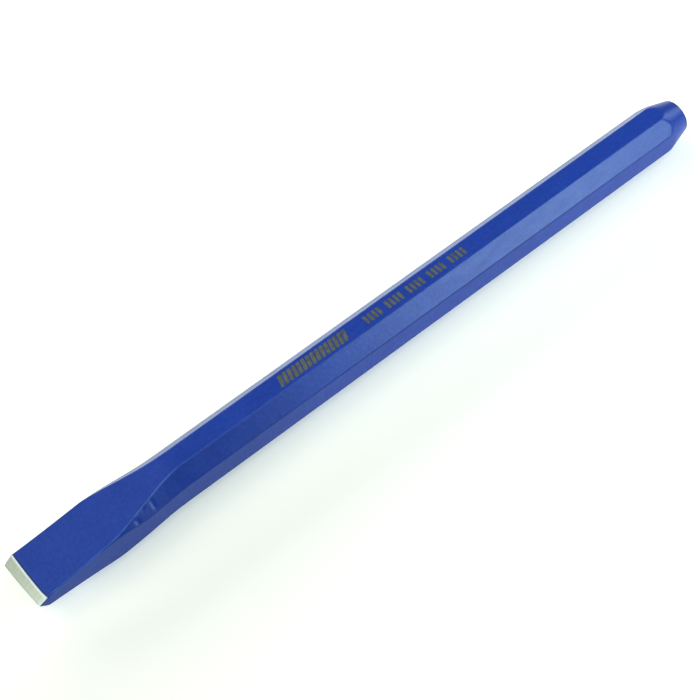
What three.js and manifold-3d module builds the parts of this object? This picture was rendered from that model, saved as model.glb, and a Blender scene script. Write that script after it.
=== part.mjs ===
// Cold chisel, 300 mm long with a 20 mm class cutting edge.
//
// The tool is one drop-forged bar of octagonal steel under a baked-on lacquer.
// The bar's end is pressed flat into a wedge, which squeezes the metal out
// sideways and lets the corner chamfers run out along the blade. The striking
// end is turned to a cone. The cutting edge is ground after lacquering, so both
// ground bevels are bare steel and the lacquer ends flush with them.
//
// While it is being shaped, the tool has its cutting edge at x = 0, its head at
// x = LENGTH and its long axis on the X axis. The exported group then stands it
// on its bottom flat, centred lengthways, with +Z up.

import * as THREE from 'three';
import { mergeVertices } from 'three/addons/utils/BufferGeometryUtils.js';
import Module from 'manifold-3d';

const wasm = await Module();
wasm.setup();

// Driving dimensions, in millimetres and degrees, over the lacquer.
const LENGTH = 300;
const ACROSS_FLATS = 18.3;
const FLAT_WIDTH = 7.8; // top, bottom and side flats; the chamfers make up the rest
const LACQUER = 0.15; // film thickness

const EDGE_ANGLE = 60; // included angle of the two ground bevels
const BEVEL_RUN = 3.8; // length of each bevel, measured along the axis
const WEDGE_RUN = 61.5; // from the cutting edge to where the wedge meets the bar
const WEDGE_HOLLOW = 0.35; // how far the middle of each broad face dips below a flat wedge

const BLADE_WIDTH = 22.2; // at its widest, where the bevels begin
const CORNER_EASE = 0.6; // how far each corner of the cutting edge is drawn in
const SHOULDER_WIDTH = 20.8; // blade width where the sides start to draw in
const SHOULDER_RUN = 41;
const CHAMFER_TIP_RUN = 30; // where the corner chamfers have run out
const CHAMFER_FULL_RUN = 58; // where they have the bar's full width again
const CHAMFER_TIP_REACH = 15.3; // |y| + |z| on the chamfer faces where they run out

const HEAD_CONE_RUN = 11.2; // cone length along the bar's corners
const HEAD_END_DIAMETER = 13.2;
const HEAD_RIM_RADIUS = 0.5;

// Sizes that follow from them.
const HALF_BAR = ACROSS_FLATS / 2;
const BAR_REACH = HALF_BAR + FLAT_WIDTH / 2; // |y| + |z| on the bar's chamfers
const CORNER_RADIUS = Math.hypot(HALF_BAR, FLAT_WIDTH / 2);
const BEVEL_SLOPE = Math.tan(THREE.MathUtils.degToRad(EDGE_ANGLE / 2));
const BEVEL_HEIGHT = BEVEL_RUN * BEVEL_SLOPE; // half thickness behind the bevels
const CONE_SLOPE = (CORNER_RADIUS - HEAD_END_DIAMETER / 2) / HEAD_CONE_RUN;

// Room that the shaping outlines leave beyond the metal they don't touch.
const CLEARANCE = 5;
const CURVE_STEPS = 14;
const TURNING_SEGMENTS = 48;
const RIM_STEPS = 4;

// A closed three.js geometry as a manifold solid.
function toSolid(geometry) {
  geometry.deleteAttribute('normal');
  geometry.deleteAttribute('uv');
  const merged = mergeVertices(geometry, 1e-4);
  const mesh = new wasm.Mesh({
    numProp: 3,
    vertProperties: new Float32Array(merged.attributes.position.array),
    triVerts: new Uint32Array(merged.index.array),
  });
  return new wasm.Manifold(mesh);
}

// A manifold solid as a three.js geometry.
function toGeometry(solid) {
  const mesh = solid.getMesh();
  const geometry = new THREE.BufferGeometry();
  geometry.setAttribute('position', new THREE.BufferAttribute(mesh.vertProperties, 3));
  geometry.setIndex(new THREE.BufferAttribute(mesh.triVerts, 1));
  geometry.computeVertexNormals();
  return geometry;
}

// Closes an upper outline, given as a path from the blade to the head, with its
// mirror image below the axis, and extrudes it equally to both sides.
function symmetricSlab(upperPath) {
  const upper = upperPath.getPoints(CURVE_STEPS);
  const lower = upper.map((point) => new THREE.Vector2(point.x, -point.y)).reverse();
  const outline = new THREE.Shape([...upper, ...lower]);
  const depth = 2 * (CORNER_RADIUS + CLEARANCE);
  const slab = new THREE.ExtrudeGeometry(outline, { depth, bevelEnabled: false });
  return slab.translate(0, 0, -depth / 2);
}

// A path step that leaves and arrives parallel to the axis, as a die's blend does.
function blendTo(path, x, y) {
  const from = path.currentPoint;
  const third = (x - from.x) / 3;
  path.bezierCurveTo(from.x + third, from.y, x - third, y, x, y);
}

// Seen from above: the sides of the ground tip, which draw in to the cutting edge,
// the flared blade, the shoulders and the parallel bar. The slab's outline is in X
// and Y, and its thickness along Z.
function planSlab(inset) {
  const blade = BLADE_WIDTH / 2 - inset;
  const shoulder = SHOULDER_WIDTH / 2 - inset;
  const path = new THREE.Path();
  path.moveTo(-CLEARANCE, blade - CORNER_EASE);
  path.lineTo(0, blade - CORNER_EASE);
  path.lineTo(BEVEL_RUN, blade);
  path.quadraticCurveTo((BEVEL_RUN + SHOULDER_RUN) / 2, shoulder, SHOULDER_RUN, shoulder);
  blendTo(path, WEDGE_RUN, HALF_BAR - inset);
  path.lineTo(LENGTH + CLEARANCE, HALF_BAR - inset);
  return symmetricSlab(path);
}

// Seen from the side: the long, slightly hollow wedge of the blade and the parallel
// bar. Ahead of the bevels' border the wedge runs on straight, where it is ground off.
function sideSlab(inset) {
  const middleRun = (BEVEL_RUN + WEDGE_RUN) / 2;
  const pullHeight = (BEVEL_HEIGHT + HALF_BAR) / 2 - 2 * WEDGE_HOLLOW;
  const startSlope = (pullHeight - BEVEL_HEIGHT) / (middleRun - BEVEL_RUN);
  const path = new THREE.Path();
  path.moveTo(0, BEVEL_HEIGHT - startSlope * BEVEL_RUN - inset);
  path.lineTo(BEVEL_RUN, BEVEL_HEIGHT - inset);
  path.quadraticCurveTo(middleRun, pullHeight - inset, WEDGE_RUN, HALF_BAR - inset);
  path.lineTo(LENGTH + CLEARANCE, HALF_BAR - inset);
  return symmetricSlab(path).rotateX(Math.PI / 2);
}

// Seen square on to two opposite chamfers: they stand proud of the bar where the
// wedge squeezes the metal outwards, and past their tips they cut nothing.
function chamferSlab(inset, turn) {
  const tipDistance = CHAMFER_TIP_REACH / Math.SQRT2 - inset;
  const barDistance = BAR_REACH / Math.SQRT2 - inset;
  const path = new THREE.Path();
  path.moveTo(-CLEARANCE, tipDistance);
  path.lineTo(CHAMFER_TIP_RUN, tipDistance);
  blendTo(path, CHAMFER_FULL_RUN, barDistance);
  path.lineTo(LENGTH + CLEARANCE, barDistance);
  return symmetricSlab(path).rotateX(turn);
}

// The space inside the lathe tool's path: clear of the bar, down the head's cone,
// round the rim and across the flat end.
function turnedEnvelope(inset) {
  const end = LENGTH - inset;
  const coneAngle = Math.atan(CONE_SLOPE);
  const rimRadius = HEAD_RIM_RADIUS - inset;
  const clearRadius = CORNER_RADIUS + CLEARANCE;
  const coneEndRadius = HEAD_END_DIAMETER / 2 - inset / Math.cos(coneAngle);
  const coneRadiusAt = (x) => coneEndRadius + (LENGTH - x) * CONE_SLOPE;
  const coneStart = LENGTH - (clearRadius - coneEndRadius) / CONE_SLOPE;
  const rimCentreX = end - rimRadius;
  const rimCentreR = coneRadiusAt(rimCentreX) - rimRadius / Math.cos(coneAngle);

  const profile = [
    new THREE.Vector2(0, -CLEARANCE),
    new THREE.Vector2(clearRadius, -CLEARANCE),
    new THREE.Vector2(clearRadius, coneStart),
  ];
  for (let step = 0; step <= RIM_STEPS; step += 1) {
    const angle = THREE.MathUtils.lerp(coneAngle, Math.PI / 2, step / RIM_STEPS);
    const radius = rimCentreR + rimRadius * Math.cos(angle);
    profile.push(new THREE.Vector2(radius, rimCentreX + rimRadius * Math.sin(angle)));
  }
  profile.push(new THREE.Vector2(0, end));
  return new THREE.LatheGeometry(profile, TURNING_SEGMENTS).rotateZ(-Math.PI / 2);
}

// What the grinding wheel leaves: two bevels that meet in the cutting edge.
function groundEnvelope() {
  const height = CORNER_RADIUS + CLEARANCE;
  const path = new THREE.Path();
  path.moveTo(0, 0);
  path.lineTo(height / BEVEL_SLOPE, height);
  path.lineTo(LENGTH + CLEARANCE, height);
  return symmetricSlab(path).rotateX(Math.PI / 2);
}

// The forged and turned body, with every surface moved inwards by the inset.
function forgedBody(inset) {
  return [
    sideSlab(inset),
    chamferSlab(inset, Math.PI / 4),
    chamferSlab(inset, -Math.PI / 4),
    turnedEnvelope(inset),
  ].reduce((body, tool) => body.intersect(toSolid(tool)), toSolid(planSlab(inset)));
}

function part(name, solid, material) {
  const mesh = new THREE.Mesh(toGeometry(solid), material);
  mesh.name = name;
  return mesh;
}

const ground = toSolid(groundEnvelope());
const steel = forgedBody(LACQUER).intersect(ground);
const lacquer = forgedBody(0).intersect(ground).subtract(steel);

const groundSteel = new THREE.MeshStandardMaterial({ color: 0xbfc6bb, roughness: 0.34, metalness: 1 });
const blueLacquer = new THREE.MeshStandardMaterial({ color: 0x29459a, roughness: 0.36, metalness: 0 });

const chisel = new THREE.Group();
chisel.add(part('steel_forging', steel, groundSteel));
chisel.add(part('lacquer_coat', lacquer, blueLacquer));
chisel.position.set(-LENGTH / 2, 0, HALF_BAR);

export default chisel;
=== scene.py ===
import math

import bmesh
import bpy
import numpy as np
from mathutils import Matrix, Vector, noise


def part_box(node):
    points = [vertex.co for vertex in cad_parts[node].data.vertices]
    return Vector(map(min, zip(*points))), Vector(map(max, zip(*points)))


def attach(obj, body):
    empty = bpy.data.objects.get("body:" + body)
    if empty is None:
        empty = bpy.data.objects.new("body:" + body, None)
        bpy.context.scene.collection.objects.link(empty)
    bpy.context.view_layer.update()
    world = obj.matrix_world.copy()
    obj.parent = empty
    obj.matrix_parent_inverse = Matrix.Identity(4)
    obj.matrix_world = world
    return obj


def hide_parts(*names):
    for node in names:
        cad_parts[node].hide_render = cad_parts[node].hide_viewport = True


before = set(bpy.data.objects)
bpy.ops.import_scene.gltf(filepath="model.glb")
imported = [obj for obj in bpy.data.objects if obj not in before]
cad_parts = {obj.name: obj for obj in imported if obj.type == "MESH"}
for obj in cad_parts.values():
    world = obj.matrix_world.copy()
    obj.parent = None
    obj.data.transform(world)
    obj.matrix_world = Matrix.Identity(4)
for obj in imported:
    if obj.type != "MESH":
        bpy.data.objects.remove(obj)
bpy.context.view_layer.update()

# A 300 mm cold chisel: the steel forging with its two ground bevels, the blue lacquer
# over it, and the plain marking printed on its top flat. All sizes below are in
# millimetres. "run" is the distance from the cutting edge towards the striking end.

MM = 0.001

# Sizes taken from the frame.
COAT_LOW, COAT_HIGH = (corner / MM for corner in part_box("lacquer_coat"))
STEEL_LOW, STEEL_HIGH = (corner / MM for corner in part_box("steel_forging"))
LENGTH = COAT_HIGH.x - STEEL_LOW.x
HALF_BAR = (COAT_HIGH.z - COAT_LOW.z) / 2
HALF_BLADE = (COAT_HIGH.y - COAT_LOW.y) / 2
FILM = HALF_BAR - (STEEL_HIGH.z - STEEL_LOW.z) / 2

# Driving dimensions of the shape inside that box: the bar, the wedge and its sides.
FLAT_WIDTH = 7.8
WEDGE_RUN = 61.5
WEDGE_HOLLOW = 0.35
WEDGE_BLEND = 0.5
HALF_SHOULDER = 10.4
SHOULDER_RUN = 41.0

# The chamfers, and the rounding of the ridges beside them.
CHAMFER_TIP_RUN = 30.0
CHAMFER_FULL_RUN = 58.0
CHAMFER_TIP_REACH = 15.3
CHAMFER_BLEND = 0.3
RIDGE_CHAMFER = 0.6
RIDGE_RADIUS = 0.75
RIDGE_SHARE_ON_BLADE = 0.5

# The ground tip, its slightly bowed edge, and the lacquer worn away at one corner.
EDGE_ANGLE = math.radians(60)
BEVEL_RUN = 3.8
BEVEL_LEAN = 0.08
CORNER_EASE = 0.6
EDGE_BOW = 0.2
COAT_CORNER_WEAR = 0.5
COAT_CORNER_SPREAD = 0.9

# The turned head.
HEAD_CONE_RUN = 11.2
HEAD_END_RADIUS = 6.6
HEAD_RIM_RADIUS = 0.5
CONE_SOFTNESS = 0.35

# Sizes that follow from them.
BAR_REACH = HALF_BAR + FLAT_WIDTH / 2
CORNER_RADIUS = math.hypot(HALF_BAR, FLAT_WIDTH / 2)
BEVEL_SLOPE = math.tan(EDGE_ANGLE / 2)
BEVEL_HEIGHT = BEVEL_RUN * BEVEL_SLOPE
CONE_SLOPE = (CORNER_RADIUS - HEAD_END_RADIUS) / HEAD_CONE_RUN
CONE_ANGLE = math.atan(CONE_SLOPE)

# Mesh densities: points round the section, and millimetres between its stations, which
# are close together from the edge to a little past the wedge and again at the head.
SIDE_SEGMENTS = 16
BROAD_SEGMENTS = 16
CHAMFER_SEGMENTS = 14
CORNER_SEGMENTS = 5
CORNER_SUPPORT = 0.02
BLADE_STEP = 0.55
BAR_STEP = 2.0
HEAD_STEP = 0.35
PAST_WEDGE = 4
BEFORE_CONE = 1
RIM_STEPS = 8
CAP_RINGS = 8
WELD_DISTANCE = 0.002
BEVEL_ROWS = SIDE_SEGMENTS // 2
GRIND_ROUNDS = 12

# The section's faces are counted from the +Y side, turning upwards.
FACES = 8
FACE_ANGLE = 2 * math.pi / FACES
BROAD_FACES = (2, 6)
SIDE_FACES = (0, 4)
FLANK_FACES = (0, 1, 3, 4, 5, 7)

# Ridge 2 lies between faces 2 and 3, and so on.
# Ridges 2 and 5, and 3 and 4 on the blade, carry a painted highlight that is partly rubbed wear;
# ridges 3 and 4 on the bar and all the others carry painted shade.
RUBBED_HIGHLIGHT_RIDGES = (2, 5)
SIDE_RIDGES = (3, 4)
SHADED_RIDGES = (0, 7)
TOP_AND_BOTTOM_RIDGES = (1, 6)


# ---- shape of the forging -------------------------------------------------

def blend(value, start, end):
    """0 before start, 1 after end, with level ends between."""
    share = np.clip((value - start) / (end - start), 0, 1)
    return share * share * (3 - 2 * share)


def soft_min(a, b, softness):
    """The smaller of the two, with a rounded change from one to the other."""
    share = np.clip(0.5 + 0.5 * (b - a) / softness, 0, 1)
    return b + (a - b) * share - softness * share * (1 - share)


def half_width(run):
    """Seen from above: the ground tip's sides, the flared blade, the shoulders and the bar."""
    tip = HALF_BLADE - CORNER_EASE * (1 - run / BEVEL_RUN)
    share = (SHOULDER_RUN - run) / (SHOULDER_RUN - BEVEL_RUN)
    blade = HALF_SHOULDER + (HALF_BLADE - HALF_SHOULDER) * share ** 2
    shoulder = HALF_SHOULDER + (HALF_BAR - HALF_SHOULDER) * blend(run, SHOULDER_RUN, WEDGE_RUN)
    return np.where(run < BEVEL_RUN, tip, np.where(run < SHOULDER_RUN, blade, shoulder))


def half_height(run):
    """Seen from the side: the long, slightly hollow wedge of the blade and the bar."""
    share = (run - BEVEL_RUN) / (WEDGE_RUN - BEVEL_RUN)
    wedge = BEVEL_HEIGHT + (HALF_BAR - BEVEL_HEIGHT) * share - 4 * WEDGE_HOLLOW * share * (1 - share)
    return soft_min(wedge, HALF_BAR, WEDGE_BLEND)


def ridge_share(run):
    """The ridges are crisp on the blade and reach their full rounding on the bar."""
    return RIDGE_SHARE_ON_BLADE + (1 - RIDGE_SHARE_ON_BLADE) * blend(run, CHAMFER_TIP_RUN, WEDGE_RUN)


def chamfer_reach(run):
    """|y| + |z| on the chamfer faces, which never leave the ridges quite sharp."""
    share = blend(run, CHAMFER_TIP_RUN, CHAMFER_FULL_RUN)
    reach = CHAMFER_TIP_REACH + (BAR_REACH - CHAMFER_TIP_REACH) * share
    corner = half_width(run) + half_height(run) - RIDGE_CHAMFER * ridge_share(run)
    return soft_min(reach, corner, CHAMFER_BLEND)


def face_distance(face, run, inset):
    """Distance from the axis to one of the eight faces."""
    if face in SIDE_FACES:
        return half_width(run) - inset
    if face in BROAD_FACES:
        return half_height(run) - inset
    return chamfer_reach(run) / math.sqrt(2) - inset


def corner_centre(corner, run, inset, radius):
    """Centre of the rounding between a face and the next one, as (y, z)."""
    angle = corner * FACE_ANGLE
    here = face_distance(corner % FACES, run, inset) - radius
    there = face_distance((corner + 1) % FACES, run, inset) - radius
    along = math.sqrt(2) * there - here
    y = here * math.cos(angle) - along * math.sin(angle)
    z = here * math.sin(angle) + along * math.cos(angle)
    return y, z


def cone_radius(run, inset):
    """Radius of the lathe tool's path at the head, with its rounded rim."""
    end = LENGTH - inset
    rim = HEAD_RIM_RADIUS - inset
    cone = HEAD_END_RADIUS - inset / math.cos(CONE_ANGLE) + (LENGTH - run) * CONE_SLOPE
    centre_run = end - rim
    centre_radius = HEAD_END_RADIUS - inset / math.cos(CONE_ANGLE) + (LENGTH - centre_run) * CONE_SLOPE
    centre_radius -= rim / math.cos(CONE_ANGLE)
    on_rim = run > centre_run + rim * math.sin(CONE_ANGLE)
    arc = np.sqrt(np.clip(rim ** 2 - (run - centre_run) ** 2, 0, None))
    return np.where(on_rim, centre_radius + arc, cone)


def ring_layout():
    """One (face, share, angle) per point round the section, from the middle of the +Y side.

    On a flat, share runs from 0 to 1 along it. On a rounding, share is None and angle
    runs from this face's direction to the next one's.
    """
    segments = {face: CHAMFER_SEGMENTS for face in range(FACES)}
    segments.update({face: SIDE_SEGMENTS for face in SIDE_FACES})
    segments.update({face: BROAD_SEGMENTS for face in BROAD_FACES})
    points = []
    for face in range(FACES):
        angle = face * FACE_ANGLE
        inner = [step / segments[face] for step in range(1, segments[face])]
        inner[0], inner[-1] = CORNER_SUPPORT, 1 - CORNER_SUPPORT
        points += [(face, share, angle) for share in inner]
        for step in range(CORNER_SEGMENTS + 1):
            points.append((face, None, angle + FACE_ANGLE * step / CORNER_SEGMENTS))
    start = SIDE_SEGMENTS // 2 - 1
    return points[start:] + points[:start]


RING = ring_layout()
RING_ANGLES = np.array([angle for _, _, angle in RING])


def on_ridges(corners):
    """1 for the ring's points on the roundings at those corners, else 0."""
    return np.array([float(share is None and face in corners) for face, share, _ in RING])


def on_faces(faces):
    """1 for the ring's points on the flat of those faces, else 0."""
    return np.array([float(share is not None and face in faces) for face, share, _ in RING])


def section_point(column, run, inset):
    """(y, z) of one point of the ring at each of the given runs."""
    face, share, angle = RING[column]
    radius = RIDGE_RADIUS * ridge_share(run) - inset
    y, z = corner_centre(face, run, inset, radius)
    if share is not None:
        before_y, before_z = corner_centre(face - 1, run, inset, radius)
        y = before_y + (y - before_y) * share
        z = before_z + (z - before_z) * share
    y = y + radius * math.cos(angle)
    z = z + radius * math.sin(angle)
    distance = np.hypot(y, z)
    turned = soft_min(distance, cone_radius(run, inset), CONE_SOFTNESS)
    scale = np.where(run > LENGTH - 2 * HEAD_CONE_RUN, turned / distance, 1)
    return y * scale, z * scale


def ground_run(y, z):
    """Where the ground bevels stand: a slightly bowed cutting edge and two flat slopes.

    The wheel took a little more off towards +Y than towards -Y.
    """
    lean = 1 + BEVEL_LEAN * y / HALF_BLADE
    return EDGE_BOW * (y / HALF_BLADE) ** 2 + lean * np.abs(z) / BEVEL_SLOPE


def worn_back(y, z):
    """How far the lacquer has drawn back from the grind, mostly at one top corner."""
    corner = COAT_CORNER_WEAR * np.exp(-((y + HALF_BLADE) / COAT_CORNER_SPREAD) ** 2)
    return np.where(z > 0, corner, 0)


def ground_ring_run(column, inset, drawn_back):
    """Run at which this point of the ring meets the ground bevels."""
    run = np.array(BEVEL_RUN)
    for _ in range(GRIND_ROUNDS):
        y, z = section_point(column, run, inset)
        run = ground_run(y, z) + (worn_back(y, z) if drawn_back else 0)
    return float(run)


def stations(start, end, step):
    return np.linspace(start, end, round((end - start) / step) + 1)


def body_grid(inset, drawn_back=False):
    """Runs, y and z of the body's surface, one row per station from bevel to rim."""
    bar_start = WEDGE_RUN + PAST_WEDGE
    head_start = LENGTH - HEAD_CONE_RUN - BEFORE_CONE
    rim = HEAD_RIM_RADIUS - inset
    rim_centre = LENGTH - inset - rim
    rim_start = rim_centre + rim * math.sin(CONE_ANGLE)
    shares = stations(0, bar_start, BLADE_STEP) / bar_start
    bar = stations(bar_start, head_start, BAR_STEP)
    head = stations(head_start, rim_start, HEAD_STEP)
    rim_angles = np.linspace(CONE_ANGLE, math.pi / 2, RIM_STEPS + 1)[1:]
    tail = np.concatenate([bar[1:], head[1:], rim_centre + rim * np.sin(rim_angles)])
    columns = []
    for column in range(len(RING)):
        start = ground_ring_run(column, inset, drawn_back)
        run = np.concatenate([start + (bar_start - start) * shares, tail])
        columns.append((run, *section_point(column, run, inset)))
    run, y, z = np.array(columns).transpose(1, 2, 0)
    return run, *forge(run, y, z)


# ---- traces of forging ------------------------------------------------------

# Dents that the hammer dies leave where a chamfer runs out: (chamfer face, run, height
# above or below the axis, length up the chamfer, width along the tool, depth). They reach
# only the skin near their own face.
DIE_MARKS = (
    (3, 48.9, 5.7, 2.6, 0.55, 0.14),
    (3, 41.3, 4.9, 1.3, 0.80, 0.16),
    (3, 44.8, 6.4, 1.6, 0.60, 0.04),
    (3, 54.5, 5.5, 2.2, 0.60, 0.03),
    (3, 59.5, 5.4, 2.2, 0.60, 0.03),
    (1, 46.0, 5.8, 2.6, 0.60, 0.07),
    (1, 52.5, 5.2, 1.8, 0.60, 0.04),
    (5, 50.2, 5.6, 2.2, 0.60, 0.08),
    (5, 43.1, 4.8, 1.4, 0.70, 0.05),
    (7, 47.4, 5.9, 2.8, 0.55, 0.07),
    (7, 56.0, 5.3, 1.6, 0.60, 0.03),
)
MARKED_SKIN = 0.2

# The waves: (length, height). They fade out towards the ground tip and the rim.
WAVES = ((26.0, 0.020), (9.0, 0.008))
FORGING_FADE = 6.0


def die_mark_depth(run, y, z):
    """How deep the die marks go at each point of the surface."""
    depth = np.zeros_like(run)
    for face, mark_run, height, length, width, deepest in DIE_MARKS:
        angle = face * FACE_ANGLE
        facing = y * math.cos(angle) + z * math.sin(angle)
        on_face = facing > chamfer_reach(run) / math.sqrt(2) - MARKED_SKIN
        lengthways = np.exp(-((run - mark_run) / width) ** 2)
        crossways = np.exp(-(2 * (np.abs(z) - height) / length) ** 4)
        depth += np.where(on_face, deepest * lengthways * crossways, 0)
    return depth


def forged_waviness(run, y, z):
    """The slow unevenness that rolling and forging leave on every face, all of it inwards."""
    height = np.zeros(run.size)
    points = np.stack([run.ravel(), y.ravel(), z.ravel()], axis=1)
    for length, amount in WAVES:
        height += [amount * noise.noise(Vector(point / length)) - amount for point in points]
    return height.reshape(run.shape)


def forge(run, y, z):
    """Moves the surface along the section's own normals by the forging's unevenness."""
    fade = blend(run, BEVEL_RUN, BEVEL_RUN + FORGING_FADE)
    fade = fade * (1 - blend(run, LENGTH - FORGING_FADE / 2, LENGTH - HEAD_RIM_RADIUS))
    push = (forged_waviness(run, y, z) - die_mark_depth(run, y, z)) * fade
    return y + push * np.cos(RING_ANGLES), z + push * np.sin(RING_ANGLES)


# ---- meshes -----------------------------------------------------------------

def in_row_frame(run, y, z):
    """Points of the tool in the row frame, in metres."""
    x = STEEL_LOW.x + run
    return np.stack([x, y, z + HALF_BAR], axis=-1).reshape(-1, 3) * MM


def grid_faces(rows, columns, first):
    """Quads of a grid that closes on itself round the tool."""
    faces = []
    for row in range(rows - 1):
        for column in range(columns):
            after = (column + 1) % columns
            a = first + row * columns + column
            b = first + row * columns + after
            faces.append((a, b, b + columns, a + columns))
    return faces


def cap_rings(run, y, z):
    """Rings that close the flat striking end, shrinking to one point in the middle."""
    shares = np.linspace(1, 0, CAP_RINGS + 1)[1:-1]
    rows = [(run, y * share, z * share) for share in shares]
    return [np.concatenate(parts).reshape(len(shares), -1) for parts in zip(*rows)]


# Shares from 0 to 1 that the materials read: ridges rubbed bright, partly wear and partly
# a painted highlight; painted shade on ridges, flanks and the head's rim; and the border
# between the lacquer and the ground bevels.
MASKS = ("rubbed", "thin", "trimmed")
TRIM_WIDTH = 1.1
BLUNT_WIDTH = 0.6

# How strong the rubbed highlight is on the bar's ridges, and the painted shade elsewhere.
RUBBED_HIGHLIGHT_ON_BAR = 0.15
SHADE_ON_TOP = 0.4
SHADE_ON_SIDE = 0.7
SHADE_ON_FLANKS = 0.45

# Where along the tool each change of the masks begins and ends.
TO_CHAMFER = (CHAMFER_TIP_RUN - 10, CHAMFER_TIP_RUN + 5)
TO_BAR = (SHOULDER_RUN + 12, WEDGE_RUN + 6)
TO_UNSHADED_FLANKS = (85, 130)
TO_CONE = (LENGTH - HEAD_CONE_RUN - 2, LENGTH - HEAD_CONE_RUN + 1)
TO_END = (LENGTH - 2 * HEAD_RIM_RADIUS, LENGTH - HEAD_RIM_RADIUS)


def ridge_masks(run, y, z):
    """The rubbed and shade masks of a body's grid: near ridges painted bright on the blade, a
    painted highlight that is partly rubbed wear; far ridges painted dark all along, darker
    flanks behind the blade and a dark rim round the head, all painted shade."""
    before_cone = 1 - blend(run, *TO_CONE)
    on_chamfer = blend(run, *TO_CHAMFER)
    outside = HEAD_END_RADIUS - 2 * HEAD_RIM_RADIUS
    on_rim = blend(run, *TO_END) * blend(np.hypot(y, z), outside - HEAD_RIM_RADIUS, outside)
    rubbed = on_ridges(RUBBED_HIGHLIGHT_RIDGES) * (1 - (1 - RUBBED_HIGHLIGHT_ON_BAR) * blend(run, *TO_BAR))
    rubbed = rubbed + on_ridges(SIDE_RIDGES) * (1 - on_chamfer)
    thin = on_ridges(SHADED_RIDGES) + SHADE_ON_TOP * on_ridges(TOP_AND_BOTTOM_RIDGES)
    thin = thin + SHADE_ON_SIDE * on_ridges(SIDE_RIDGES) * on_chamfer
    thin = thin + SHADE_ON_FLANKS * on_faces(FLANK_FACES) * (1 - blend(run, *TO_UNSHADED_FLANKS))
    return rubbed * before_cone, thin * before_cone + on_rim


class Shell:
    """Collects vertices, their masks and the faces of one piece."""

    def __init__(self):
        self.points = []
        self.masks = {name: [] for name in MASKS}
        self.faces = []
        self.count = 0

    def add_points(self, points, **masks):
        first = self.count
        self.points.append(points)
        for name, parts in self.masks.items():
            mask = np.ravel(masks.get(name, 0.0))
            parts.append(np.broadcast_to(mask, len(points)))
        self.count += len(points)
        return first

    def add_closed_body(self, run, y, z):
        """A body's grid from its first ring to the middle of its striking end."""
        cap = cap_rings(run[-1], y[-1], z[-1])
        run, y, z = (np.vstack(pair) for pair in zip((run, y, z), cap))
        rubbed, thin = ridge_masks(run, y, z)
        first = self.add_points(
            in_row_frame(run, y, z),
            rubbed=rubbed,
            thin=thin,
            trimmed=np.repeat([1.0, 0.0], [run.shape[1], run.size - run.shape[1]]),
        )
        self.faces += grid_faces(*run.shape, first)
        middle = self.add_points(in_row_frame(run[-1:, 0], np.zeros(1), np.zeros(1)))
        last = middle - run.shape[1]
        for column in range(run.shape[1]):
            after = (column + 1) % run.shape[1]
            self.faces.append((last + column, last + after, middle))
        return first

    def add_bevel(self, run, y, z):
        """A plain grid from the cutting edge in its first row up to the lacquer."""
        from_coat = np.minimum(run[-1] - run, y - y[:, -1:])
        first = self.add_points(
            in_row_frame(run, y, z),
            rubbed=1 - blend(run - run[0], 0, BLUNT_WIDTH),
            trimmed=1 - blend(from_coat, 0, TRIM_WIDTH),
        )
        rows, columns = run.shape
        for row in range(rows - 1):
            for column in range(columns - 1):
                a = first + row * columns + column
                self.faces.append((a, a + 1, a + columns + 1, a + columns))

    def make(self, name):
        mesh = bpy.data.meshes.new(name)
        mesh.from_pydata(np.vstack(self.points).tolist(), [], self.faces)
        for mask, parts in self.masks.items():
            layer = mesh.attributes.new(mask, "FLOAT", "POINT")
            layer.data.foreach_set("value", np.concatenate(parts))
        mesh.validate()
        mesh.shade_smooth()
        piece = bpy.data.objects.new(name, mesh)
        bpy.context.scene.collection.objects.link(piece)
        return piece


def tidy_shell(piece, sharp_angle):
    """Joins coincident points, turns the faces outwards and keeps the real edges crisp."""
    mesh = bmesh.new()
    mesh.from_mesh(piece.data)
    bmesh.ops.remove_doubles(mesh, verts=mesh.verts, dist=WELD_DISTANCE * MM)
    bmesh.ops.recalc_face_normals(mesh, faces=mesh.faces)
    mesh.to_mesh(piece.data)
    mesh.free()
    piece.data.shade_smooth()
    piece.data.set_sharp_from_angle(angle=math.radians(sharp_angle))


def make_lacquer():
    """The coat: a thin shell that opens in the plane of the ground bevels."""
    shell = Shell()
    outer = shell.add_closed_body(*body_grid(0, drawn_back=True))
    inner = shell.add_closed_body(*body_grid(FILM, drawn_back=True))
    columns = len(RING)
    for column in range(columns):
        after = (column + 1) % columns
        shell.faces.append((inner + column, inner + after, outer + after, outer + column))
    piece = shell.make("lacquer_finish")
    tidy_shell(piece, sharp_angle=35)
    return piece


def bevel_patch(half_ring):
    """Fills one ground bevel between the cutting edge and the half ring above it.

    The half ring runs up one side of the blade, across its broad face and down the
    other side. Its two side stretches are the patch's ends, and the stretch between
    them its far border.
    """
    right, left = half_ring[: BEVEL_ROWS + 1], half_ring[::-1][: BEVEL_ROWS + 1]
    far = half_ring[BEVEL_ROWS: len(half_ring) - BEVEL_ROWS]
    near = far * np.array([right[0, 0] / far[0, 0], 0])
    across = np.linspace(0, 1, len(far))[None, :, None]
    up = np.linspace(0, 1, BEVEL_ROWS + 1)[:, None, None]
    ends = right[:, None] * (1 - across) + left[:, None] * across
    borders = near[None] * (1 - up) + far[None] * up
    corners = (near[0] * (1 - across) + near[-1] * across) * (1 - up)
    corners = corners + (far[0] * (1 - across) + far[-1] * across) * up
    patch = ends + borders - corners
    y, z = patch[..., 0], patch[..., 1]
    return ground_run(y, z), y, z


def make_steel():
    """The forging: hidden under the lacquer except for its two ground bevels."""
    shell = Shell()
    run, y, z = body_grid(FILM)
    shell.add_closed_body(run, y, z)
    section = np.stack([y[0], z[0]], axis=1)
    half = len(RING) // 2
    for half_ring in (section[: half + 1], np.vstack([section[half:], section[:1]])[::-1]):
        shell.add_bevel(*bevel_patch(half_ring))
    piece = shell.make("ground_steel")
    tidy_shell(piece, sharp_angle=25)
    return piece


# ---- marking ----------------------------------------------------------------

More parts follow.
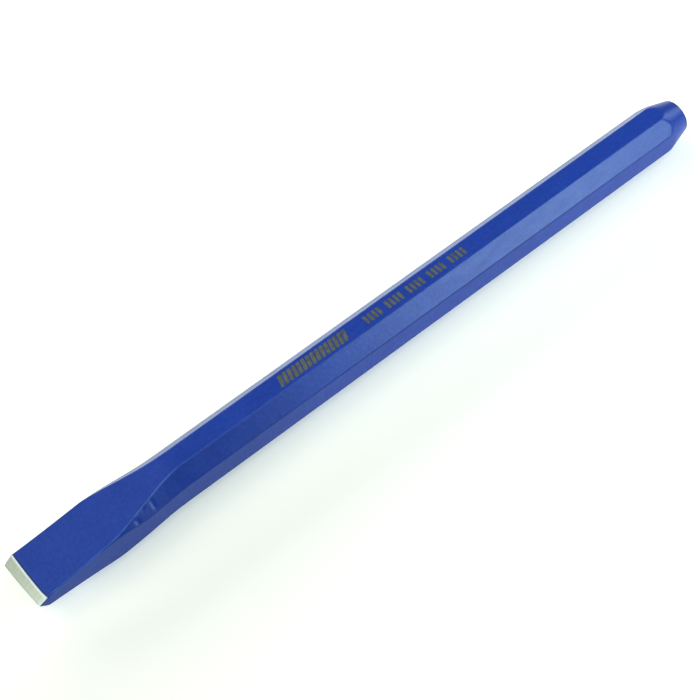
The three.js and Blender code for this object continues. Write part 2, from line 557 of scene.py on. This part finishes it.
# Two blocks of plain strokes on the top flat, which say nothing: a hatch of slanted
# strokes, then groups of short upright ticks.
HATCH_START, HATCH_PITCH, HATCH_STROKES = 109.6, 2.02, 15
HATCH_WIDTH, HATCH_HEIGHT, HATCH_LEAN = 1.5, 5.0, 1.5
TICK_START, TICK_PITCH, TICKS = 147.6, 1.96, 24
TICKS_PER_GROUP = 4
TICK_WIDTH, TICK_HEIGHT = 1.25, 3.8
CORNER_SHARE = 0.25
CORNER_STEPS = 3
MARK_PROUD = 0.015
MARK_DEPTH = 0.06


def marking_strokes():
    """(run, width, height, lean) of every stroke of the marking."""
    strokes = []
    for index in range(HATCH_STROKES):
        run = HATCH_START + index * HATCH_PITCH
        strokes.append((run, HATCH_WIDTH, HATCH_HEIGHT, HATCH_LEAN))
    for index in range(TICKS):
        if index % (TICKS_PER_GROUP + 1) < TICKS_PER_GROUP:
            strokes.append((TICK_START + index * TICK_PITCH, TICK_WIDTH, TICK_HEIGHT, 0))
    return strokes


def stroke_outline(run, width, height, lean):
    """Runs and ys of an upright or slanted bar with rounded corners."""
    radius = min(width, height) * CORNER_SHARE
    signs = ((1, 1), (-1, 1), (-1, -1), (1, -1))
    points = []
    for quarter, (sign_run, sign_across) in enumerate(signs):
        for step in range(CORNER_STEPS + 1):
            angle = (quarter + step / CORNER_STEPS) * math.pi / 2
            along = sign_run * (width / 2 - radius) + radius * math.cos(angle)
            across = sign_across * (height / 2 - radius) + radius * math.sin(angle)
            points.append((run + along + lean * across / height, across))
    return np.array(points).T


def make_marking():
    """Thin strokes of ink that stand a hair above the top flat and follow its waves."""
    shell = Shell()
    for stroke in marking_strokes():
        runs, ys = stroke_outline(*stroke)
        flat = np.full(len(runs), HALF_BAR)
        surface = flat + forged_waviness(runs, ys, flat)
        upper = shell.add_points(in_row_frame(runs, ys, surface + MARK_PROUD))
        lower = shell.add_points(in_row_frame(runs, ys, surface - MARK_DEPTH))
        count = len(runs)
        shell.faces.append(tuple(range(upper, upper + count)))
        shell.faces.append(tuple(range(lower + count - 1, lower - 1, -1)))
        for step in range(count):
            after = (step + 1) % count
            shell.faces.append((lower + step, lower + after, upper + after, upper + step))
    piece = shell.make("marking_strokes")
    tidy_shell(piece, sharp_angle=30)
    return piece


# ---- materials --------------------------------------------------------------

class Finish:
    """One material's node tree. Lengths in it are millimetres of the row frame."""

    def __init__(self, name):
        self.material = bpy.data.materials.new(name)
        self.material.use_nodes = True
        self.tree = self.material.node_tree
        self.shader = self.tree.nodes["Principled BSDF"]
        self.place = self.node("ShaderNodeTexCoord").outputs["Object"]

    def node(self, kind, settings=None, **sockets):
        """A node with the given settings, and the given values or links on its sockets."""
        node = self.tree.nodes.new(kind)
        for name, value in (settings or {}).items():
            setattr(node, name, value)
        for name, value in sockets.items():
            self.feed(node.inputs[name.replace("_", " ")], value)
        return node

    def feed(self, socket, value):
        if isinstance(value, bpy.types.NodeSocket):
            self.tree.links.new(value, socket)
        else:
            socket.default_value = value

    def shade(self, **sockets):
        for name, value in sockets.items():
            self.feed(self.shader.inputs[name.replace("_", " ")], value)

    def noise(self, length, across=None, detail=2.0, distortion=0.0):
        """Noise whose grain is length long, and across wide if it is streaky.

        Streaks run along X; a pair of widths gives those along Y and Z.
        """
        wide, high = across if isinstance(across, tuple) else (across or length,) * 2
        scale = tuple(1 / (size * MM) for size in (length, wide, high))
        mapping = self.node("ShaderNodeMapping", Vector=self.place, Scale=scale)
        texture = self.node(
            "ShaderNodeTexNoise", Vector=mapping.outputs["Vector"],
            Scale=1.0, Detail=detail, Distortion=distortion,
        )
        return texture.outputs["Fac"]

    def axis(self, name):
        """X, Y or Z of the place on the surface, in metres."""
        return self.node("ShaderNodeSeparateXYZ", Vector=self.place).outputs[name]

    def mask(self, name):
        return self.node("ShaderNodeAttribute", {"attribute_name": name}).outputs["Fac"]

    def span(self, value, start, end, low=0.0, high=1.0):
        """Turns start..end into low..high, and holds it there outside."""
        node = self.node(
            "ShaderNodeMapRange", Value=value,
            From_Min=start, From_Max=end, To_Min=low, To_Max=high,
        )
        return node.outputs["Result"]

    def maths(self, operation, first, second):
        node = self.node("ShaderNodeMath", {"operation": operation})
        self.feed(node.inputs[0], first)
        self.feed(node.inputs[1], second)
        return node.outputs["Value"]

    def mix(self, share, first, second):
        """From colour first to colour second as share goes from 0 to 1."""
        node = self.node("ShaderNodeMix", {"data_type": "RGBA"})
        sockets = [socket for socket in node.inputs if socket.enabled]
        for socket, value in zip(sockets, (share, first, second)):
            self.feed(socket, (*value, 1) if isinstance(value, tuple) else value)
        return next(socket for socket in node.outputs if socket.enabled)

    def bump(self, height, depth, under=None):
        """Bumps of that depth in millimetres, on top of the ones under them."""
        node = self.node("ShaderNodeBump", Height=height, Distance=depth * MM)
        if under is not None:
            self.feed(node.inputs["Normal"], under)
        return node.outputs["Normal"]


# The darkest of these is a dark tone for random mottle and the cut edge, and painted shade on ridges
# and flanks. The rubbed one is a painted highlight that is partly wear.
LACQUER_BLUE = (0.014, 0.052, 0.375)
LACQUER_DEEP = (0.013, 0.047, 0.345)
LACQUER_PALE = (0.030, 0.085, 0.420)
LACQUER_DARK_AND_SHADE = (0.003, 0.018, 0.170)
LACQUER_RUBBED_HIGHLIGHT = (0.060, 0.140, 0.500)
LACQUER_SHEEN = (0.76, 0.96, 1.0, 1.0)


def lacquer_material():
    """Baked satin lacquer with orange peel, ridges painted bright as highlight and rubbed wear,
    painted shade on other ridges and flanks, and a darker cut edge.
    """
    finish = Finish("blue_lacquer")
    clouds = finish.noise(11, detail=3)
    mottle = finish.noise(1.2, detail=3)
    specks = finish.noise(0.5, detail=1)
    patchy = finish.noise(3, across=1.2, detail=3)
    colour = finish.mix(finish.span(clouds, 0.35, 0.65), LACQUER_DEEP, LACQUER_BLUE)
    colour = finish.mix(finish.span(mottle, 0.5, 0.7, 0, 0.2), colour, LACQUER_PALE)
    colour = finish.mix(finish.span(mottle, 0.5, 0.3, 0, 0.2), colour, LACQUER_DARK_AND_SHADE)
    colour = finish.mix(finish.span(specks, 0.68, 0.78, 0, 0.5), colour, LACQUER_PALE)
    # Painted highlight on the near ridges, partly rubbed wear.
    rubbed = finish.maths("MULTIPLY", finish.mask("rubbed"), finish.span(patchy, 0.3, 0.6, 0.3, 0.8))
    colour = finish.mix(rubbed, colour, LACQUER_RUBBED_HIGHLIGHT)
    # Painted shade: dark ridges, darker flanks and a dark head rim.
    thin = finish.maths("MULTIPLY", finish.mask("thin"), finish.span(patchy, 0.3, 0.7, 0.9, 0.6))
    colour = finish.mix(thin, colour, LACQUER_DARK_AND_SHADE)
    colour = finish.mix(finish.span(finish.mask("trimmed"), 0, 0.8), colour, LACQUER_DARK_AND_SHADE)
    smears = finish.noise(9, across=2.2, detail=4)
    undulation = finish.bump(finish.noise(5, detail=2), 0.05)
    peel = finish.bump(finish.noise(1.3, detail=2), 0.04, under=undulation)
    finish.shade(
        Base_Color=colour,
        Roughness=finish.span(smears, 0.3, 0.7, 0.285, 0.36),
        IOR=1.4,
        Specular_Tint=LACQUER_SHEEN,
        Normal=finish.bump(finish.noise(0.5, detail=2), 0.007, under=peel),
    )
    return finish.material


STEEL_PALE = (0.54, 0.61, 0.53)
STEEL_DULL = (0.44, 0.50, 0.43)
STEEL_BLUNT = (0.38, 0.43, 0.38)
# The painted highlight's colour, for the band beside the lacquer's border.
TRIM_HIGHLIGHT = (0.72, 0.86, 0.90)


def steel_material():
    """Ground steel: scratches up the bevel, a blunted edge, and a painted highlight: a pale,
    non-metallic band beside the lacquer's border.
    """
    finish = Finish("ground_steel")
    fine = finish.noise(6, across=(0.09, 6), detail=2)
    coarse = finish.noise(5, across=(0.45, 5), detail=3)
    patches = finish.noise(1.1, detail=3)
    colour = finish.mix(finish.span(coarse, 0.3, 0.7), STEEL_DULL, STEEL_PALE)
    colour = finish.mix(finish.span(patches, 0.45, 0.7, 0, 0.5), colour, STEEL_DULL)
    colour = finish.mix(finish.mask("rubbed"), colour, STEEL_BLUNT)
    # Painted highlight: a pale, non-metallic band beside the lacquer's border.
    ragged_highlight = finish.maths("MULTIPLY", finish.mask("trimmed"), finish.span(patches, 0.3, 0.7, 0.7, 1.1))
    edge_highlight = finish.span(ragged_highlight, 0.1, 0.9)
    scratches = finish.bump(fine, 0.004)
    finish.shade(
        Base_Color=finish.mix(edge_highlight, colour, TRIM_HIGHLIGHT),
        Metallic=finish.span(edge_highlight, 0, 1, 1, 0),
        Roughness=finish.span(coarse, 0.3, 0.7, 0.46, 0.38),
        Normal=finish.bump(coarse, 0.01, under=scratches),
    )
    return finish.material


INK_OLIVE = (0.115, 0.130, 0.090)
INK_DARK = (0.028, 0.036, 0.055)


def ink_material():
    """Dull olive ink, a little uneven so that it looks printed."""
    finish = Finish("marking_ink")
    broken = finish.noise(1.8, detail=3)
    finish.shade(
        Base_Color=finish.mix(finish.span(broken, 0.30, 0.60, 0.2, 0.9), INK_DARK, INK_OLIVE),
        Roughness=finish.span(broken, 0.3, 0.7, 0.6, 0.4),
        Normal=finish.bump(broken, 0.01),
    )
    return finish.material


def give(piece, material):
    piece.data.materials.clear()
    piece.data.materials.append(material)


# ---- studio -----------------------------------------------------------------

# The floor, in metres: flat out to one radius, then rising to its rim.
FLOOR_RADIUS = 8.0
FLOOR_FLAT_RADIUS = 4.0
FLOOR_RIM_HEIGHT = 1.2
FLOOR_RINGS = 24
FLOOR_SEGMENTS = 96

# Its paper, and the glow painted into it: dimmest beside the tool's near side, a painted shadow band,
# and brightest behind.
FLOOR_PALE = (0.90, 0.90, 0.90)
FLOOR_PALER = (0.91, 0.91, 0.91)
FLOOR_CLOUDS = 400
FLOOR_GLOW_IN_PAINTED_SHADOW = 0.16
FLOOR_GLOW_BEHIND = 0.64
FLOOR_GLOW_IN_FRONT = 0.16
FLOOR_GLOW_TINT = (0.88, 1.0, 0.75, 1.0)
FLOOR_GLOW_REACH = 40

# What is left of the light outside the softboxes.
WORLD_GLOW = 0.03

# Softboxes: name, place, the point it faces, width, height, all in metres, radiance, tint.
NEUTRAL = (1.0, 1.0, 0.93)
COOL = (0.88, 1.0, 1.03)
SOFTBOXES = (
    ("overhead_front", (0.60, -0.84, 2.80), (0, 0, 0), 1.6, 1.4, 1.75, NEUTRAL),
    ("over_back", (-1.30, 1.08, 2.46), (0, 0, 0), 2.0, 1.6, 1.65, NEUTRAL),
    ("low_left", (-2.75, 0.50, 0.90), (0, 0, 0), 2.0, 1.0, 6.0, NEUTRAL),
    ("low_back", (0.30, 2.80, 0.90), (0, 0, 0), 3.0, 1.2, 3.6, NEUTRAL),
    ("right_front", (0.325, -0.41, 0.285), (0.05, 0, 0.01), 0.26, 0.28, 6.7, COOL),
    ("right_end", (1.62, -0.13, 0.72), (0.15, 0, 0.01), 0.75, 0.5, 3.9, COOL),
)
AREA_LIGHT_FACTOR = 4

# The camera: where it looks, from how far, and its turn about that line.
CAMERA_AIM = (-0.01107, -0.00010, 0.00909)
CAMERA_DISTANCE = 0.6238
CAMERA_AZIMUTH = -32.26
CAMERA_ELEVATION = 51.47
CAMERA_ROLL = -9.49
CAMERA_LENS = 91.79
CAMERA_SENSOR = 36.0


def floor_material():
    """Plain pale paper with a glow painted into it, dimmest beside the tool's near side as a painted
    shadow band.
    """
    finish = Finish("studio_floor")
    across = finish.axis("Y")
    reach = FLOOR_GLOW_REACH * MM
    # Painted shadow: the glow is least beside the tool's near side.
    behind = finish.span(across, -reach, reach, FLOOR_GLOW_IN_PAINTED_SHADOW, FLOOR_GLOW_BEHIND)
    in_front = finish.span(across, -reach / 2, -3 * reach, 0, FLOOR_GLOW_IN_FRONT)
    finish.shade(
        Base_Color=finish.mix(finish.noise(FLOOR_CLOUDS), FLOOR_PALE, FLOOR_PALER),
        Roughness=0.9,
        Specular_IOR_Level=0.0,
        Emission_Color=FLOOR_GLOW_TINT,
        Emission_Strength=finish.maths("ADD", behind, in_front),
    )
    return finish.material


def make_floor():
    """A pale floor that turns up gently at its far rim."""
    points = [(0, 0, 0)]
    faces = []
    for ring in range(1, FLOOR_RINGS + 1):
        radius = FLOOR_RADIUS * (ring / FLOOR_RINGS) ** 2
        rise = float(blend(radius, FLOOR_FLAT_RADIUS, FLOOR_RADIUS)) * FLOOR_RIM_HEIGHT
        for step in range(FLOOR_SEGMENTS):
            angle = 2 * math.pi * step / FLOOR_SEGMENTS
            points.append((radius * math.cos(angle), radius * math.sin(angle), rise))
    for step in range(FLOOR_SEGMENTS):
        after = (step + 1) % FLOOR_SEGMENTS
        faces.append((0, 1 + step, 1 + after))
        for ring in range(FLOOR_RINGS - 1):
            start = 1 + ring * FLOOR_SEGMENTS
            inner, outer = start, start + FLOOR_SEGMENTS
            faces.append((inner + step, outer + step, outer + after, inner + after))
    mesh = bpy.data.meshes.new("floor")
    mesh.from_pydata(points, [], faces)
    mesh.shade_smooth()
    floor = bpy.data.objects.new("floor", mesh)
    bpy.context.scene.collection.objects.link(floor)
    give(floor, floor_material())


def make_softbox(name, place, target, width, height, radiance, tint):
    light = bpy.data.lights.new(name, "AREA")
    light.shape = "RECTANGLE"
    light.size = width
    light.size_y = height
    light.color = tint
    light.energy = AREA_LIGHT_FACTOR * radiance * width * height
    lamp = bpy.data.objects.new(name, light)
    lamp.location = place
    away = Vector(place) - Vector(target)
    lamp.rotation_euler = away.to_track_quat("Z", "Y").to_euler()
    lamp.visible_camera = False
    bpy.context.scene.collection.objects.link(lamp)


def make_world():
    world = bpy.data.worlds.new("studio")
    world.use_nodes = True
    backdrop = world.node_tree.nodes["Background"]
    backdrop.inputs["Color"].default_value = (1, 1, 1, 1)
    backdrop.inputs["Strength"].default_value = WORLD_GLOW
    bpy.context.scene.world = world
    bpy.context.scene.view_settings.view_transform = "Standard"


def make_camera():
    azimuth, elevation, roll = (
        math.radians(angle) for angle in (CAMERA_AZIMUTH, CAMERA_ELEVATION, CAMERA_ROLL)
    )
    away = Vector((
        math.sin(azimuth) * math.cos(elevation),
        -math.cos(azimuth) * math.cos(elevation),
        math.sin(elevation),
    ))
    level = Vector((math.cos(azimuth), math.sin(azimuth), 0))
    upright = away.cross(level)
    right = level * math.cos(roll) + upright * math.sin(roll)
    up = upright * math.cos(roll) - level * math.sin(roll)
    camera = bpy.data.cameras.new("camera")
    camera.lens = CAMERA_LENS
    camera.sensor_width = CAMERA_SENSOR
    camera.clip_start = 0.01
    viewer = bpy.data.objects.new("camera", camera)
    viewer.matrix_world = Matrix.LocRotScale(
        Vector(CAMERA_AIM) + away * CAMERA_DISTANCE,
        Matrix((right, up, away)).transposed(),
        None,
    )
    bpy.context.scene.collection.objects.link(viewer)
    bpy.context.scene.camera = viewer


# ---- assembly ---------------------------------------------------------------

lacquer = make_lacquer()
give(lacquer, lacquer_material())
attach(lacquer, "root")
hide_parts("lacquer_coat")

steel = make_steel()
give(steel, steel_material())
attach(steel, "root")
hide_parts("steel_forging")

marking = make_marking()
give(marking, ink_material())
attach(marking, "root")

make_floor()
make_world()
for softbox in SOFTBOXES:
    make_softbox(*softbox)
make_camera()
